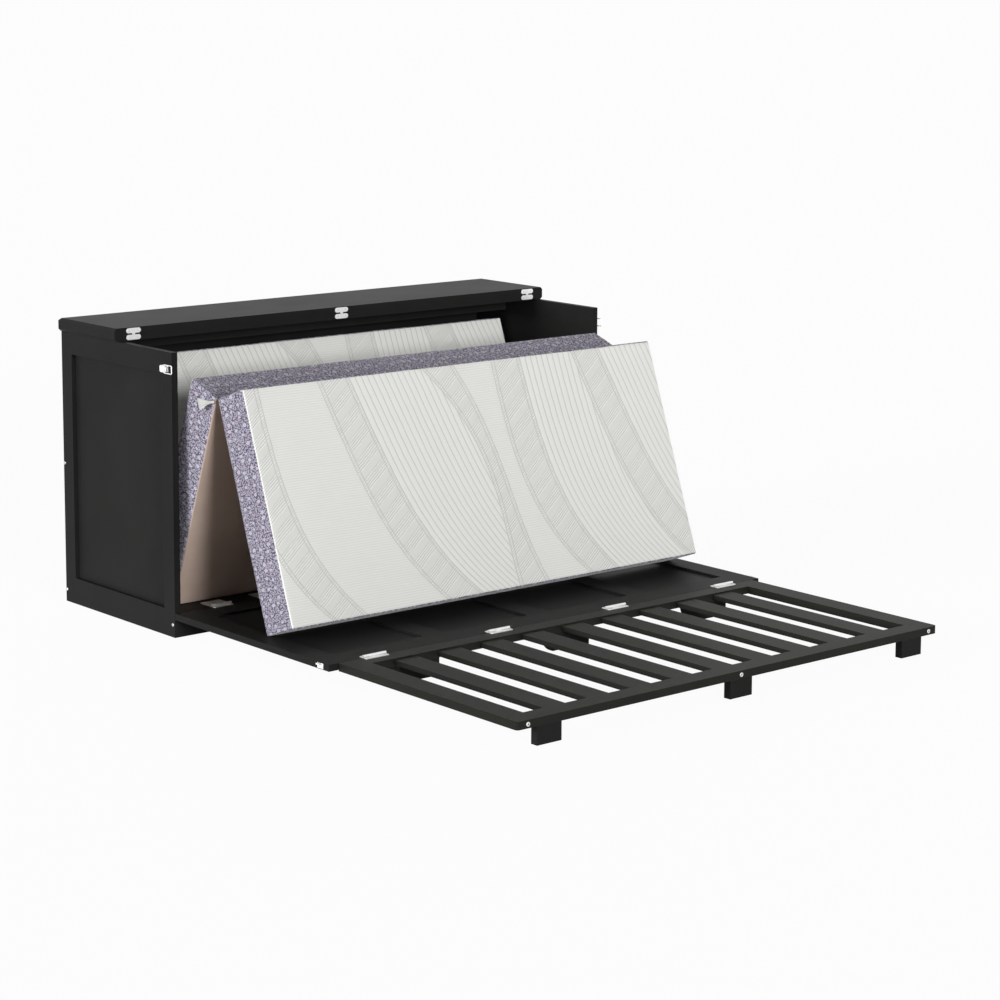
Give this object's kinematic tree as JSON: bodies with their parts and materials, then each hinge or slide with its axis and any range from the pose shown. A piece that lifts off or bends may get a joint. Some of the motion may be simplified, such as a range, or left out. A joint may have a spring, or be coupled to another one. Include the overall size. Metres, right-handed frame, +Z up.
{
  "type": "cabinet bed",
  "caption": "Low black cabinet that opens into a bed: flip-back lid, fold-down front panel, slatted frame on short feet and a folding mattress stored inside.",
  "frame": {"origin": "on the floor, in the middle of the opened bed's box", "axes": "+Z up, +Y from the foot of the bed to the wall side of the cabinet, +X to the right seen from the foot"},
  "size_m": [1.642, 2.07, 0.865],
  "materials": {
    "painted_wood": "satin",
    "painted_board": "satin",
    "leg_wood": "satin",
    "plated_steel": "satin",
    "bolt_steel": "satin",
    "mattress_fabric": "matte"
  },
  "bodies": {
    "cabinet": {"left_side_front_stile": "painted_wood", "left_side_rear_stile": "painted_wood", "left_side_top_rail": "painted_wood", "left_side_bottom_rail": "painted_wood", "left_side_panel": "painted_board", "right_side_front_stile": "painted_wood", "right_side_rear_stile": "painted_wood", "right_side_top_rail": "painted_wood", "right_side_bottom_rail": "painted_wood", "right_side_panel": "painted_board", "side_bolts": "bolt_steel", "back_panel": "painted_board", "back_top_rail": "painted_wood", "lid_cross_rail": "painted_wood", "base_front_beam": "painted_wood", "deck_board": "painted_board", "deck_bearers": "painted_wood", "lid_rear_board": "painted_wood", "lid_hinge_rear_plates": "plated_steel", "lid_hinge_pins": "plated_steel", "cabinet_hinge_deck_leaves": "plated_steel", "latch_bases": "plated_steel"},
    "lid_leaf": {"lid_front_board": "painted_wood", "lid_hinge_front_plates": "plated_steel"},
    "front_panel": {"front_panel_left_stile": "painted_wood", "front_panel_right_stile": "painted_wood", "front_panel_bottom_rail": "painted_wood", "front_panel_top_rail": "painted_wood", "front_panel_mullions": "painted_wood", "front_panel_insets": "painted_board", "latch_catches": "plated_steel", "cabinet_hinge_panel_leaves": "plated_steel", "slat_hinge_panel_leaves": "plated_steel", "hinge_pins": "plated_steel"},
    "slat_panel": {"slat_hinge_slat_leaves": "plated_steel", "slat_frame_near_rail": "painted_wood", "slat_frame_end_rail": "painted_wood", "slat_frame_left_rail": "painted_wood", "slat_frame_right_rail": "painted_wood", "slat_1": "painted_wood", "slat_2": "painted_wood", "slat_3": "painted_wood", "slat_4": "painted_wood", "slat_5": "painted_wood", "slat_6": "painted_wood", "slat_7": "painted_wood", "slat_8": "painted_wood", "slat_9": "painted_wood", "end_legs": "leg_wood", "middle_feet": "leg_wood", "end_rail_bolts": "bolt_steel"},
    "mattress_rear": {"mattress_rear_section": "mattress_fabric"},
    "mattress_middle": {"mattress_middle_section": "mattress_fabric", "mattress_fold_rolls": "mattress_fabric"},
    "mattress_front": {"mattress_front_section": "mattress_fabric"},
    "left_latch_lever": {"left_latch_lever": "plated_steel"},
    "left_latch_bail": {"left_latch_bail": "plated_steel"},
    "right_latch_lever": {"right_latch_lever": "plated_steel"},
    "right_latch_bail": {"right_latch_bail": "plated_steel"}
  },
  "joints": [
    {"name": "lid_flip", "type": "hinge", "parent": "cabinet", "child": "lid_leaf", "pos_m": [0, 0.723, 0.8455], "axis": [1, 0, 0], "range_deg": [0, 180]},
    {"name": "front_panel_hinge", "type": "hinge", "parent": "cabinet", "child": "front_panel", "pos_m": [0, 0.441, 0.0765], "axis": [-1, 0, 0], "range_deg": [0, 90], "deforming": ["mattress_front_section", "mattress_middle_section", "mattress_fold_rolls"]},
    {"name": "slat_panel_fold", "type": "hinge", "parent": "front_panel", "child": "slat_panel", "pos_m": [0, -0.29875, 0.0765], "axis": [-1, 0, 0], "range_deg": [0, 180]},
    {"name": "mattress_tilt", "type": "hinge", "parent": "cabinet", "child": "mattress_middle", "pos_m": [0, 0.64615, -0.56934], "axis": [-1, 0, 0], "range_deg": [0, 19.7]},
    {"name": "mattress_rear_fold", "type": "hinge", "parent": "mattress_middle", "child": "mattress_rear", "pos_m": [0, 0.65002, 0.11357], "axis": [1, 0, 0], "range_deg": [0, 39.4]},
    {"name": "mattress_front_fold", "type": "hinge", "parent": "mattress_middle", "child": "mattress_front", "pos_m": [0, 0.29114, 0.70947], "axis": [1, 0, 0], "range_deg": [0, 39.4]},
    {"name": "left_latch_open", "type": "hinge", "parent": "cabinet", "child": "left_latch_lever", "pos_m": [-0.817, 0.461, 0.778], "axis": [0, 0, 1], "range_deg": [0, 150]},
    {"name": "left_latch_bail_turn", "type": "hinge", "parent": "left_latch_lever", "child": "left_latch_bail", "pos_m": [-0.817, 0.468, 0.778], "axis": [0, 0, 1], "range_deg": [-150, 0]},
    {"name": "right_latch_open", "type": "hinge", "parent": "cabinet", "child": "right_latch_lever", "pos_m": [0.817, 0.461, 0.778], "axis": [0, 0, -1], "range_deg": [0, 150]},
    {"name": "right_latch_bail_turn", "type": "hinge", "parent": "right_latch_lever", "child": "right_latch_bail", "pos_m": [0.817, 0.468, 0.778], "axis": [0, 0, -1], "range_deg": [-150, 0]}
  ],
  "couplings": [
    {"joint": "mattress_tilt", "follows": "front_panel_hinge", "ratio": 0.21889},
    {"joint": "mattress_rear_fold", "follows": "front_panel_hinge", "ratio": 0.43778},
    {"joint": "mattress_front_fold", "follows": "front_panel_hinge", "ratio": 0.43778},
    {"joint": "left_latch_bail_turn", "follows": "left_latch_open", "ratio": -1},
    {"joint": "right_latch_bail_turn", "follows": "right_latch_open", "ratio": -1}
  ]
}
